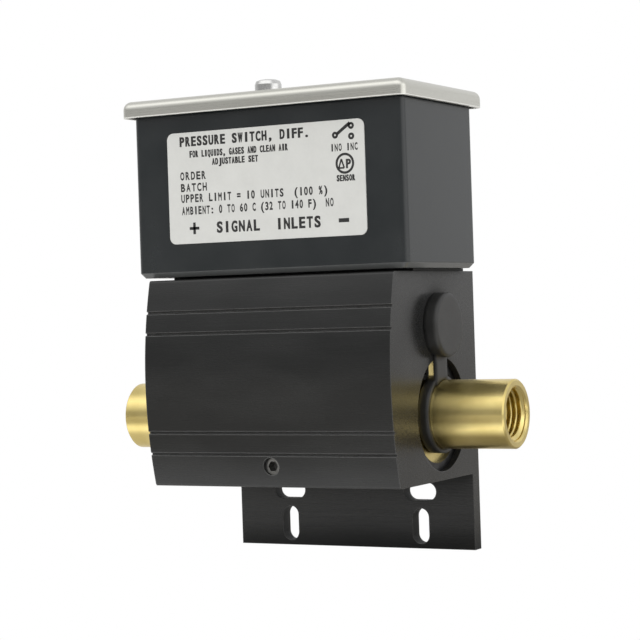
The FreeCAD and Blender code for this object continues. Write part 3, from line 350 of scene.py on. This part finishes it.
def anodised_black():
    """Black anodised extrusion: draw lines along X, ends that look along X painted a little lighter as
    painted side light, edges lighter partly from wear and partly as a painted highlight, and dull hollows.
    """
    finish = Finish("anodised_black", IOR=1.48)
    lines = finish.grain(0.25 * MM, stretch=(60, 1, 1))
    cloud = finish.grain(9 * MM, stretch=(3, 1, 1), detail=2.0)
    finish.soft_edges(0.3 * MM)
    toward_x = finish.math("POWER", finish.split(finish.normal)["X"], 2.0)
    # Edges are lighter, partly from wear and partly as a painted highlight where they catch light; the weight
    # is larger on edges of faces that run along X
    edge_wear_and_highlight_weight = finish.spread(toward_x, 11.0, 3.0, start=0.0, end=0.2)
    edge_wear_and_highlight = finish.math("MULTIPLY", finish.edge_turn(), edge_wear_and_highlight_weight)
    # Ends that look along X are painted a little lighter, as painted side light
    shade = finish.total(edge_wear_and_highlight, (cloud, 0.15), (finish.facing_x(), 0.03))
    finish.colour(shade, (0.006, 0.0064, 0.0062), (0.12, 0.12, 0.118), start=0.05, end=1.0)
    dull = finish.total(lines, (cloud, 0.3), (finish.hollow(10 * MM), 4.0))
    finish.roughness(dull, 0.21, 0.85, start=0.4, end=3.6)
    finish.bump(lines, strength=0.14, distance=0.02 * MM)
    return finish.done()


def powder_coat():
    """Bluish black powder coat with a fine pebble; edges lighter, partly from wear and partly as a painted
    highlight, and faces that look down painted lighter as painted fill light from below.
    """
    finish = Finish("powder_coat", IOR=1.55)
    pebble = finish.grain(0.55 * MM, detail=2.0)
    cloud = finish.grain(14 * MM)
    finish.soft_edges(0.35 * MM)
    # Edges are lighter, partly from wear and partly as a painted highlight
    edge_wear_and_highlight = finish.math("MULTIPLY", finish.edge_turn(), 1.5)
    # Faces that look down are painted lighter: painted fill light on the lower bevel
    shade = finish.total(edge_wear_and_highlight, (cloud, 0.15), (finish.facing_down(), 0.6))
    finish.colour(shade, (0.0055, 0.0085, 0.0100), (0.130, 0.135, 0.135), start=0.05, end=1.0)
    finish.roughness(cloud, 0.22, 0.28)
    finish.bump(pebble, strength=0.16, distance=0.05 * MM)
    return finish.done()


def satin_stainless():
    """Pressed stainless sheet with level streaks and a grain along X, and a painted highlight along its
    bottom edge: a lighter, less metallic band.
    """
    finish = Finish("satin_stainless", Metallic=1.0)
    lines = finish.grain(0.12 * MM, stretch=(150, 1, 1))
    streaks = finish.grain(0.9 * MM, stretch=(40, 40, 1))
    bottom = min(corner[2] for corner in NODES["cover"].bound_box)
    # Painted highlight: a band along the bottom edge is lighter and less metallic, so it shows bright
    edge_highlight = finish.lowest(bottom + EDGE_HIGHLIGHT_FULL * EDGE_HIGHLIGHT_HEIGHT, bottom + EDGE_HIGHLIGHT_HEIGHT)
    finish.soft_edges(0.2 * MM)
    shade = finish.total(finish.math("MULTIPLY", streaks, 0.5), (edge_highlight, 0.8))
    finish.colour(shade, (0.585, 0.58, 0.53), (0.84, 0.84, 0.80), start=0.1, end=1.0)
    finish.drive("Metallic", finish.spread(edge_highlight, 1.0, 0.4, start=0.0, end=1.0))
    finish.roughness(lines, 0.25, 0.33)
    finish.bump(lines, strength=0.10, distance=0.01 * MM)
    return finish.done()


def turned_brass():
    """Brass turned on a lathe about the ports' axis, with fine tool lines that draw out its reflections."""
    finish = Finish("turned_brass", Metallic=1.0, Anisotropic=0.8, Anisotropic_Rotation=0.25)
    tangent = finish.add("ShaderNodeTangent", {}, direction_type="RADIAL", axis="X")
    finish.drive("Tangent", tangent.outputs["Tangent"])
    rings = finish.grain(0.10 * MM, detail=2.0, place=finish.turned_place(PORT_AXIS))
    cloud = finish.grain(6 * MM)
    finish.soft_edges(0.12 * MM)
    finish.colour(cloud, (0.70, 0.56, 0.21), (0.82, 0.67, 0.28))
    finish.roughness(rings, 0.26, 0.275)
    finish.bump(rings, strength=0.004, distance=0.01 * MM)
    return finish.done()


def plain_metal(name, dark, light, smooth, rough):
    """Plated or stamped metal with faint handling marks."""
    finish = Finish(name, Metallic=1.0)
    scuffs = finish.grain(0.35 * MM, stretch=(1, 6, 1), detail=4.0)
    cloud = finish.grain(2.5 * MM)
    finish.soft_edges(0.1 * MM)
    finish.colour(cloud, dark, light)
    finish.roughness(scuffs, smooth, rough)
    finish.bump(scuffs, strength=0.05, distance=0.01 * MM)
    return finish.done()


def moulded(name, dark, light, smooth, rough, grain_size=0.3 * MM, grain_strength=0.12, edge_radius=0.2 * MM,
            ior=1.48):
    """Moulded rubber, plastic, paint or ink with a fine grain."""
    finish = Finish(name, IOR=ior)
    grain = finish.grain(grain_size)
    cloud = finish.grain(5 * MM)
    finish.soft_edges(edge_radius)
    shade = finish.total(finish.math("MULTIPLY", cloud, 0.7), (grain, 0.3))
    finish.colour(shade, dark, light)
    finish.roughness(grain, smooth, rough)
    finish.bump(grain, grain_strength, distance=0.03 * MM)
    return finish.done()


# Plain metals: dark and light tint, smoothest and roughest, and the solids that have this finish
METALS = {
    "plain_brass": (
        (0.62, 0.44, 0.14), (0.78, 0.58, 0.22), 0.22, 0.36,
        ("adjuster_bushing", "spring_nut", "switch_terminals")),
    "thread_brass": ((0.74, 0.60, 0.23), (0.84, 0.69, 0.29), 0.20, 0.27, ()),
    "bronze": ((0.50, 0.29, 0.13), (0.62, 0.38, 0.19), 0.26, 0.4, ("high_bellows", "low_bellows")),
    "bright_steel": (
        (0.55, 0.55, 0.54), (0.70, 0.70, 0.69), 0.16, 0.30,
        ("cover_screw_front", "cover_screw_rear", "housing_screws", "switch_screws", "bracket_screws",
         "terminal_screws", "scale_screws", "adjusting_screw", "high_thrust_pin", "low_thrust_pin",
         "lever", "range_spring", "switch_bracket")),
    "spring_steel": ((0.42, 0.42, 0.42), (0.56, 0.56, 0.56), 0.18, 0.32, ()),
    "black_oxide": (
        (0.035, 0.035, 0.038), (0.085, 0.085, 0.088), 0.28, 0.45,
        ("high_retaining_ring", "low_retaining_ring")),
    "worn_oxide": ((0.15, 0.15, 0.145), (0.29, 0.29, 0.28), 0.26, 0.40, ("pivot_screw",)),
    "scale_metal": ((0.70, 0.70, 0.71), (0.80, 0.80, 0.81), 0.28, 0.42, ("scale_plate",)),
}

# Mouldings, paint and ink: the same, and what differs from the usual grain, edges and index of refraction
INK_GRAIN = {"grain_size": 0.2 * MM, "grain_strength": 0.02, "edge_radius": 0.005 * MM}
MOULDINGS = {
    "plug_rubber": (
        (0.010, 0.010, 0.010), (0.021, 0.021, 0.020), 0.40, 0.52, ("adjuster_plug",),
        {"edge_radius": 1.5 * MM, "ior": 1.58}),
    "seal_rubber": (
        (0.008, 0.008, 0.008), (0.017, 0.017, 0.017), 0.55, 0.7,
        ("high_port_seal", "low_port_seal", "housing_gasket", "cover_gasket"), {}),
    "plate_white": (
        (0.595, 0.60, 0.578), (0.64, 0.645, 0.623), 0.32, 0.42, ("nameplate",),
        {"grain_size": 0.6 * MM, "grain_strength": 0.03, "edge_radius": 0.05 * MM}),
    "switch_plastic": ((0.020, 0.020, 0.021), (0.036, 0.036, 0.037), 0.38, 0.52, ("switch_case",), {}),
    "plunger_plastic": ((0.36, 0.035, 0.024), (0.45, 0.05, 0.034), 0.3, 0.42, ("switch_plunger",), {}),
    "ground_green": ((0.012, 0.17, 0.045), (0.02, 0.23, 0.065), 0.3, 0.42, ("ground_screw",), {}),
    "ink_black": ((0.012, 0.012, 0.012), (0.024, 0.024, 0.024), 0.4, 0.55, (), INK_GRAIN),
    "ink_white": ((0.60, 0.60, 0.58), (0.70, 0.70, 0.68), 0.4, 0.55, (), INK_GRAIN),
}


def dress(finish, *names):
    """Give this finish to the named nodes."""
    for name in names:
        NODES[name].material_slots[0].material = finish


def dress_nodes():
    """Every solid of the part gets its finish. Returns those of the tables by name, for the added pieces."""
    dress(anodised_black(), "sensor_body")
    dress(powder_coat(), "switch_housing")
    dress(satin_stainless(), "cover")
    dress(turned_brass(), "high_port", "low_port")
    finishes = {}
    for name, (dark, light, smooth, rough, solids) in METALS.items():
        finishes[name] = plain_metal(name, dark, light, smooth, rough)
        dress(finishes[name], *solids)
    for name, (dark, light, smooth, rough, solids, differences) in MOULDINGS.items():
        finishes[name] = moulded(name, dark, light, smooth, rough, **differences)
        dress(finishes[name], *solids)
    return finishes


def new_piece(name, mesh, finish, body="body"):
    """A mesh as a piece of the object. It moves with the body that is named, if any."""
    piece = bpy.data.objects.new(name, mesh)
    bpy.context.scene.collection.objects.link(piece)
    piece.data.materials.append(finish)
    if body:
        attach(piece, body)
    return piece


def mesh_of(name, points, faces, smooth_angle=40):
    """A mesh whose edges are sharp where its faces turn by more than the smooth angle."""
    mesh = bpy.data.meshes.new(name)
    mesh.from_pydata(points, [], faces)
    solid = bmesh.new()
    solid.from_mesh(mesh)
    bmesh.ops.recalc_face_normals(solid, faces=solid.faces)
    solid.to_mesh(mesh)
    solid.free()
    mesh.shade_smooth()
    mesh.set_sharp_from_angle(angle=math.radians(smooth_angle))
    return mesh


def swept(rings):
    """Points and faces of a tube with closed ends, through rings that have the same number of points."""
    count = len(rings[0])
    points = [point for ring in rings for point in ring]
    faces = []
    for row in range(len(rings) - 1):
        start = row * count
        for step in range(count):
            after = (step + 1) % count
            faces.append((start + step, start + after, start + count + after, start + count + step))
    last = len(points) - count
    faces.append(tuple(range(count - 1, -1, -1)))
    faces.append(tuple(range(last, last + count)))
    return points, faces


def around_x(angle):
    """The way out from a line along X, at this angle from Y."""
    return Vector((0, math.cos(angle), math.sin(angle)))


def pipe_thread(name, side, finish):
    """Right-hand thread inside a port, as one helical ridge that runs out at both ends."""
    mouth = (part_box("low_port")[1].x - THREAD_MOUTH) * side
    steps = int(THREAD_DEPTH / THREAD_PITCH * STEPS_A_TURN)
    run_out = STEPS_A_TURN * THREAD_RUN_OUT
    rings = []
    for step in range(steps + 1):
        turn = step / STEPS_A_TURN
        rise = min(1, step / run_out, (steps - step) / run_out)
        along = mouth - side * (RIDGE_HALF + turn * THREAD_PITCH)
        out = around_x(side * (THREAD_START - turn) * 2 * math.pi)
        crest = THREAD_ROOT + (THREAD_CREST - THREAD_ROOT) * max(rise, LEAST_RISE)
        section = [(-RIDGE_HALF, THREAD_ROOT)]
        section += [(share * CREST_HALF, crest + CREST_DROP * share * share) for share in CREST_SHARES]
        section += [(RIDGE_HALF, THREAD_ROOT), (0, THREAD_ROOT + RIDGE_SUNK)]
        ring = [PORT_AXIS + out * radius + Vector((along + offset, 0, 0)) for offset, radius in section]
        rings.append(ring)
    new_piece(name, mesh_of(name, *swept(rings), smooth_angle=THREAD_SMOOTH_ANGLE), finish)


def spring_half(name, first_turn, last_turn, finish, bodies):
    """Part of the range spring, from one turn to another, that reaches between two bodies; it is attached to
    neither.
    """
    low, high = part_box("range_spring")
    places = ((0, low.x + SPRING_WIRE / 2), (1, low.x + SPRING_CLOSED),
              (SPRING_TURNS - 1, high.x - SPRING_CLOSED), (SPRING_TURNS, high.x - SPRING_WIRE / 2))
    rings = []
    for step in range(int(first_turn * STEPS_A_TURN), int(last_turn * STEPS_A_TURN) + 1):
        turn = step / STEPS_A_TURN
        for (start, before), (end, after) in zip(places, places[1:]):
            if start <= turn <= end:
                along = before + (after - before) * (turn - start) / (end - start)
        out = around_x(-2 * math.pi * turn)
        centre = Vector((along, SPRING_AXIS.y, SPRING_AXIS.z)) + out * SPRING_MEAN_RADIUS
        ring = []
        for corner in range(WIRE_CORNERS):
            lean = 2 * math.pi * corner / WIRE_CORNERS
            ring.append(centre + (out * math.cos(lean) + Vector((math.sin(lean), 0, 0))) * SPRING_WIRE / 2)
        rings.append(ring)
    piece = new_piece(name, mesh_of(name, *swept(rings)), finish, body=None)
    if bodies[0] == "body":
        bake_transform(piece)
    else:
        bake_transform(piece)
    return piece


def circle(centre, radius):
    """A ring of points about a line along X."""
    turns = [2 * math.pi * step / CIRCLE_STEPS for step in range(CIRCLE_STEPS)]
    return [centre + around_x(turn) * radius for turn in turns]


def bellows(name, side, finish):
    """Rounded metal bellows that reaches from its thrust pin to the body, attached to neither."""
    low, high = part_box(f"{name}_bellows")
    cap_face = min(abs(low.x), abs(high.x))
    neck_end = max(abs(low.x), abs(high.x))
    cap_end = cap_face + BELLOWS_CAP
    neck_start = neck_end - BELLOWS_NECK
    steps = STEPS_A_FOLD * BELLOWS_FOLDS
    folds = []
    for step in range(steps + 1):
        wave = (1 - math.cos(2 * math.pi * step / STEPS_A_FOLD)) / 2
        radius = BELLOWS_INNER_RADIUS + (BELLOWS_OUTER_RADIUS - BELLOWS_INNER_RADIUS) * wave
        folds.append((cap_end + (neck_start - cap_end) * step / steps, radius))
    inner = [(along, radius - BELLOWS_WALL) for along, radius in reversed(folds)]
    profile = [(cap_face, BELLOWS_INNER_RADIUS), *folds, (neck_end, BELLOWS_INNER_RADIUS)]
    profile += [(neck_end, BELLOWS_INNER_RADIUS - BELLOWS_WALL), *inner]
    rings = [circle(PORT_AXIS + Vector((side * along, 0, 0)), radius) for along, radius in profile]
    piece = new_piece(f"{name}_bellows_folds", mesh_of(name, *swept(rings)), finish, body=None)
    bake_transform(piece)
    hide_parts(f"{name}_bellows")


def letter_mesh(words):
    """Letters in outline as a solid that reaches one unit to each side, before scaling."""
    curve = bpy.data.curves.new("letters", "FONT")
    curve.body = words
    curve.extrude = 1.0
    curve.bevel_depth = LETTER_BEVEL
    curve.bevel_resolution = 0
    curve.resolution_u = 4
    holder = bpy.data.objects.new("letters", curve)
    mesh = bpy.data.meshes.new_from_object(holder)
    bpy.data.objects.remove(holder)
    bpy.data.curves.remove(curve)
    return mesh


class Print:
    """Ink on a flat face, gathered into one mesh. Places are mm right and down from the face's corner."""

    def __init__(self, corner, right, down):
        self.corner = Vector(corner)
        self.right = Vector(right)
        self.down = Vector(down)
        self.out = self.down.cross(self.right)
        self.ink = bmesh.new()
        capital = letter_mesh("H")
        self.capital_height = max(v.co.y for v in capital.vertices)
        bpy.data.meshes.remove(capital)

    def matrix(self, across, down, wide, tall):
        """Places a flat shape: its X runs right, its Y runs up, and its Z stands out of the face."""
        origin = self.corner + (self.right * across + self.down * down) * MM
        columns = (self.right * wide * MM, -self.down * tall * MM, self.out * INK_PROUD)
        matrix = Matrix(columns).transposed().to_4x4()
        matrix.translation = origin
        return matrix

    def words(self, text, left, right, baseline, height, bold=0.0):
        """Narrow letters, evenly spaced from left to right on this baseline. Bold ones are struck twice."""
        pitch = (right - left) / (len(text) - 1 + LETTER_SHARE)
        tall = height / self.capital_height
        for place, letter in enumerate(text):
            if letter == " ":
                continue
            mesh = letter_mesh(letter)
            start = min(v.co.x for v in mesh.vertices)
            width = max(v.co.x for v in mesh.vertices) - start
            wide = min(pitch * LETTER_SHARE / width, tall)
            middle = left + pitch * (place + LETTER_SHARE / 2)
            mesh.transform(self.matrix(middle - (start + width / 2) * wide, baseline, wide, tall))
            self.ink.from_mesh(mesh)
            if bold:
                mesh.transform(Matrix.Translation(self.right * bold * MM - self.out * INK_PROUD / 4))
                self.ink.from_mesh(mesh)
            bpy.data.meshes.remove(mesh)

    def bar(self, left, top, right, bottom):
        """A printed bar."""
        matrix = self.matrix((left + right) / 2, (top + bottom) / 2, (right - left) / 2, (bottom - top) / 2)
        bmesh.ops.create_cube(self.ink, size=2.0, matrix=matrix)

    def stroke(self, first, second, width):
        """A printed line from one place to another."""
        start, end = Vector(first), Vector(second)
        middle = (start + end) / 2
        span = end - start
        turn = Matrix.Rotation(-math.atan2(span.y, span.x), 4, "Z")
        size = Matrix.Diagonal((span.length / 2, width / 2, 1, 1))
        matrix = self.matrix(middle.x, middle.y, 1, 1) @ turn @ size
        bmesh.ops.create_cube(self.ink, size=2.0, matrix=matrix)

    def ring(self, centre, outer, width):
        """A printed ring."""
        corners = [(outer - width, -1), (outer, -1), (outer, 1), (outer - width, 1)]
        place = self.matrix(*centre, 1, 1)
        rings = []
        for step in range(RING_STEPS):
            angle = 2 * math.pi * step / RING_STEPS
            rings.append([
                self.ink.verts.new(place @ Vector((r * math.cos(angle), r * math.sin(angle), z)))
                for r, z in corners
            ])
        for step, ring in enumerate(rings):
            after = rings[(step + 1) % RING_STEPS]
            for corner in range(len(corners)):
                following = (corner + 1) % len(corners)
                self.ink.faces.new((ring[corner], after[corner], after[following], ring[following]))

    def piece(self, name, finish, slot):
        """All ink so far as one piece that moves with the body."""
        bmesh.ops.recalc_face_normals(self.ink, faces=self.ink.faces)
        mesh = bpy.data.meshes.new(name)
        self.ink.to_mesh(mesh)
        self.ink.free()
        new_piece(name, mesh, finish)


def print_nameplate(ink):
    """Plain wording on the plate, with a change-over contact and a round sign."""
    low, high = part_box("nameplate")
    plate = Print((low.x, low.y, high.z), (1, 0, 0), (0, 0, -1))
    for text, left, right, baseline, height, bold in PLATE_WORDS:
        plate.words(text, left, right, baseline, height, bold)
    for left, top, right, bottom in PLATE_BARS:
        plate.bar(left, top, right, bottom)
    for centre, outer, width in PLATE_RINGS:
        plate.ring(centre, outer, width)
    for first, second, width in PLATE_STROKES:
        plate.stroke(first, second, width)
    plate.piece("nameplate_print", ink, "plate_white")


def print_scale(ink):
    """Graduations and plain numbers on the upper flange of the scale plate, read from above."""
    low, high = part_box("scale_plate")
    scale = Print((low.x, high.y, high.z), (1, 0, 0), (0, -1, 0))
    depth = (high.y - low.y) / MM
    middle = (high.x - low.x) / MM / 2
    for step in range(-MARKS_EACH_WAY, MARKS_EACH_WAY + 1):
        tall = SHORT_MARK if step % MARKS_A_NUMBER else LONG_MARK
        place = middle + step * MARK_SPACING
        scale.bar(place - MARK_HALF, depth - tall, place + MARK_HALF, depth - MARK_MARGIN)
    for step, number in zip(range(-MARKS_EACH_WAY, MARKS_EACH_WAY + 1, MARKS_A_NUMBER), SCALE_NUMBERS):
        place = middle + step * MARK_SPACING
        scale.words(number, place - NUMBER_HALF, place + NUMBER_HALF, NUMBER_BASELINE, NUMBER_HEIGHT)
    scale.piece("scale_print", ink, "scale_metal")


def print_switch(ink):
    """Plain contact names on top of the snap switch, beside its terminals."""
    low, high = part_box("switch_case")
    case = Print((low.x, high.y, high.z), (1, 0, 0), (0, -1, 0))
    terminal_low, terminal_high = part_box("switch_terminals")
    first = (high.y - terminal_high.y) / MM + CONTACT_FIRST
    last = (high.y - terminal_low.y) / MM - CONTACT_LAST
    for name, right, share in CONTACT_NAMES:
        case.words(name, CONTACT_LEFT, right, first + (last - first) * share, CONTACT_HEIGHT)
    case.piece("switch_print", ink, "switch_plastic")


def make_camera():
    """Camera at the photograph's viewing angle."""
    yaw, pitch, roll = (math.radians(turn) for turn in (CAMERA_YAW, CAMERA_PITCH, CAMERA_ROLL))
    forward = Vector((-math.sin(yaw) * math.cos(pitch), math.cos(yaw) * math.cos(pitch), math.sin(pitch)))
    level = Vector((math.cos(yaw), math.sin(yaw), 0))
    upright = level.cross(forward)
    right = math.cos(roll) * level + math.sin(roll) * upright
    up = math.cos(roll) * upright - math.sin(roll) * level
    camera = bpy.data.cameras.new("camera")
    camera.sensor_width = SENSOR_WIDTH
    camera.lens = FOCAL_PIXELS / IMAGE_PIXELS * SENSOR_WIDTH
    camera.clip_start = NEAREST_SEEN
    holder = bpy.data.objects.new("camera", camera)
    matrix = Matrix((right, up, -forward)).transposed().to_4x4()
    matrix.translation = CAMERA_PLACE
    holder.matrix_world = matrix
    bpy.context.scene.collection.objects.link(holder)
    bpy.context.scene.camera = holder


def soft_box(name, target, offset, power):
    """A large square light, at an offset from its target, that isn't mirrored."""
    light = bpy.data.lights.new(name, "AREA")
    light.shape = "SQUARE"
    light.size = LIGHT_SIZE
    light.energy = power
    holder = bpy.data.objects.new(name, light)
    holder.location = target + offset
    holder.visible_glossy = False
    holder.rotation_euler = (-offset).to_track_quat("-Z", "Y").to_euler()
    bpy.context.scene.collection.objects.link(holder)


def make_world():
    """Surroundings that are dim in front, bright behind and to the right, and brightest above the camera.

    What the camera itself sees of them is white.
    """
    world = bpy.data.worlds.new("studio")
    world.use_nodes = True
    graph = Graph(world.node_tree)
    toward = graph.split(graph.add("ShaderNodeTexCoord", {}).outputs["Generated"])
    level = graph.spread(toward["Y"], FRONT_GLOW, REAR_GLOW, *FRONT_TO_REAR_Y)
    level = graph.math("MULTIPLY", level, graph.spread(toward["Z"], 1.0, OVERHEAD_SHARE, *OVERHEAD_Z))
    above = graph.spread(toward["Z"], 0.0, SKY_GLOW, *SKY_Z)
    above = graph.math("MULTIPLY", above, graph.spread(toward["Y"], 1.0, SKY_REAR_SHARE, *SKY_FADE_Y))
    beside = graph.spread(toward["X"], 0.0, SIDE_GLOW, *SIDE_X)
    glow = graph.math("ADD", graph.math("ADD", level, above), beside)
    seen = graph.add("ShaderNodeLightPath", {}).outputs["Is Camera Ray"]
    background = world.node_tree.nodes["Background"]
    background.inputs["Color"].default_value = (1, 1, 1, 1)
    world.node_tree.links.new(graph.math("MAXIMUM", glow, seen), background.inputs["Strength"])
    bpy.context.scene.world = world


def make_floor(height):
    """Floor that only shows in reflections: a painted pool of light before the object, which also glows, and
    painted shadow under and behind it, darkest under its right end.
    """
    corners = [(x * FLOOR_HALF, y * FLOOR_HALF, height) for x, y in ((-1, -1), (1, -1), (1, 1), (-1, 1))]
    floor = bpy.data.objects.new("floor", mesh_of("floor", corners, [(0, 1, 2, 3)]))
    painted_light_and_shadow_floor = Finish("painted_light_and_shadow_floor", Roughness=0.9, Emission_Color=(1, 1, 1, 1))
    place = painted_light_and_shadow_floor.split(painted_light_and_shadow_floor.place)
    # Painted shadow close under the object, lifted a little under its left part; painted light before it,
    # fading with distance; the floor glows in step with this painted light
    before = painted_light_and_shadow_floor.spread(place["Y"], 0.0, 1.0, *FLOOR_BEFORE_Y)
    under = painted_light_and_shadow_floor.spread(place["X"], FLOOR_UNDER_SHARE, 0.0, *FLOOR_UNDER_X)
    near = painted_light_and_shadow_floor.spread(place["Y"], 1.0, FLOOR_AWAY_SHARE, *FLOOR_AWAY_Y)
    front = painted_light_and_shadow_floor.math("MULTIPLY", painted_light_and_shadow_floor.math("MAXIMUM", before, under), near)
    light = painted_light_and_shadow_floor.math("MAXIMUM", front, painted_light_and_shadow_floor.spread(place["Y"], 0.0, FLOOR_REAR_SHARE, *FLOOR_REAR_Y))
    painted_light_and_shadow_floor.colour(light, FLOOR_PAINTED_SHADOW, FLOOR_PAINTED_LIGHT, start=0.0, end=1.0)
    painted_light_and_shadow_floor.drive("Emission Strength", painted_light_and_shadow_floor.math("MULTIPLY", light, FLOOR_GLOW))
    floor.data.materials.append(painted_light_and_shadow_floor.done())
    floor.visible_camera = False
    bpy.context.scene.collection.objects.link(floor)


def make_studio():
    """Surroundings, two soft lights and a floor."""
    bpy.context.scene.view_settings.view_transform = "Standard"
    make_world()
    low, high = cad_box
    target = (low + high) / 2
    soft_box("key_light", target, KEY_PLACE, KEY_POWER)
    soft_box("side_light", target, SIDE_PLACE, SIDE_POWER)
    make_floor(low.z - FLOOR_GAP)


finishes = dress_nodes()
pipe_thread("low_port_thread", 1, finishes["thread_brass"])
pipe_thread("high_port_thread", -1, finishes["thread_brass"])
print_nameplate(finishes["ink_black"])
print_scale(finishes["ink_black"])
print_switch(finishes["ink_white"])
spring_steel = finishes["spring_steel"]
lever_half = spring_half("range_spring_lever_half", 0, SPRING_TURNS / 2, spring_steel, ("lever", "body"))
spring_half("range_spring_nut_half", SPRING_TURNS / 2, SPRING_TURNS, spring_steel, ("body", "nut"))
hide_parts("range_spring")
bellows("low", 1, finishes["bronze"])
bellows("high", -1, finishes["bronze"])
make_camera()
make_studio()
